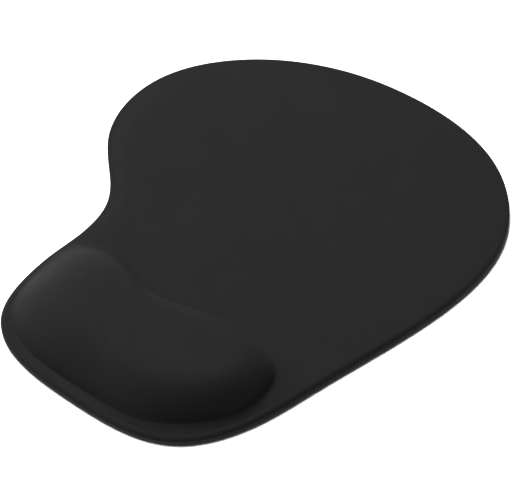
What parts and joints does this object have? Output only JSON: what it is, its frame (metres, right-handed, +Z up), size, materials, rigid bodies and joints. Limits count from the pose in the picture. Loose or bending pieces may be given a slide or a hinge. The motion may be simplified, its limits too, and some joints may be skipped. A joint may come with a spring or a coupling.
{
  "type": "mouse mat with wrist rest",
  "caption": "Soft mouse mat, round at the far end and narrowed at a waist, with a raised bean-shaped wrist rest under the same stretched cloth.",
  "frame": {"origin": "centre of the mat's footprint, on the surface that it lies on", "axes": "+Y from the wrist rest to the far edge, +X to the user's right, +Z up"},
  "size_m": [0.1928, 0.23, 0.0201],
  "materials": {
    "stretch_knit": "fine matt knit",
    "sponge_foam": "closed-cell sponge, cut edge",
    "grip_base": "embossed satin",
    "polyurethane_film": "smooth film",
    "soft_gel": "smooth, tacky",
    "hot_melt_adhesive": "satin film"
  },
  "bodies": {
    "root": {"top_cloth": "stretch_knit", "cloth_adhesive_film": "hot_melt_adhesive", "mat_foam": "sponge_foam", "gel_top_film": "polyurethane_film", "gel_core": "soft_gel", "gel_base_film": "polyurethane_film", "pouch_adhesive_sheet": "hot_melt_adhesive", "base_adhesive_film": "hot_melt_adhesive", "non_slip_base": "grip_base"}
  },
  "joints": []
}
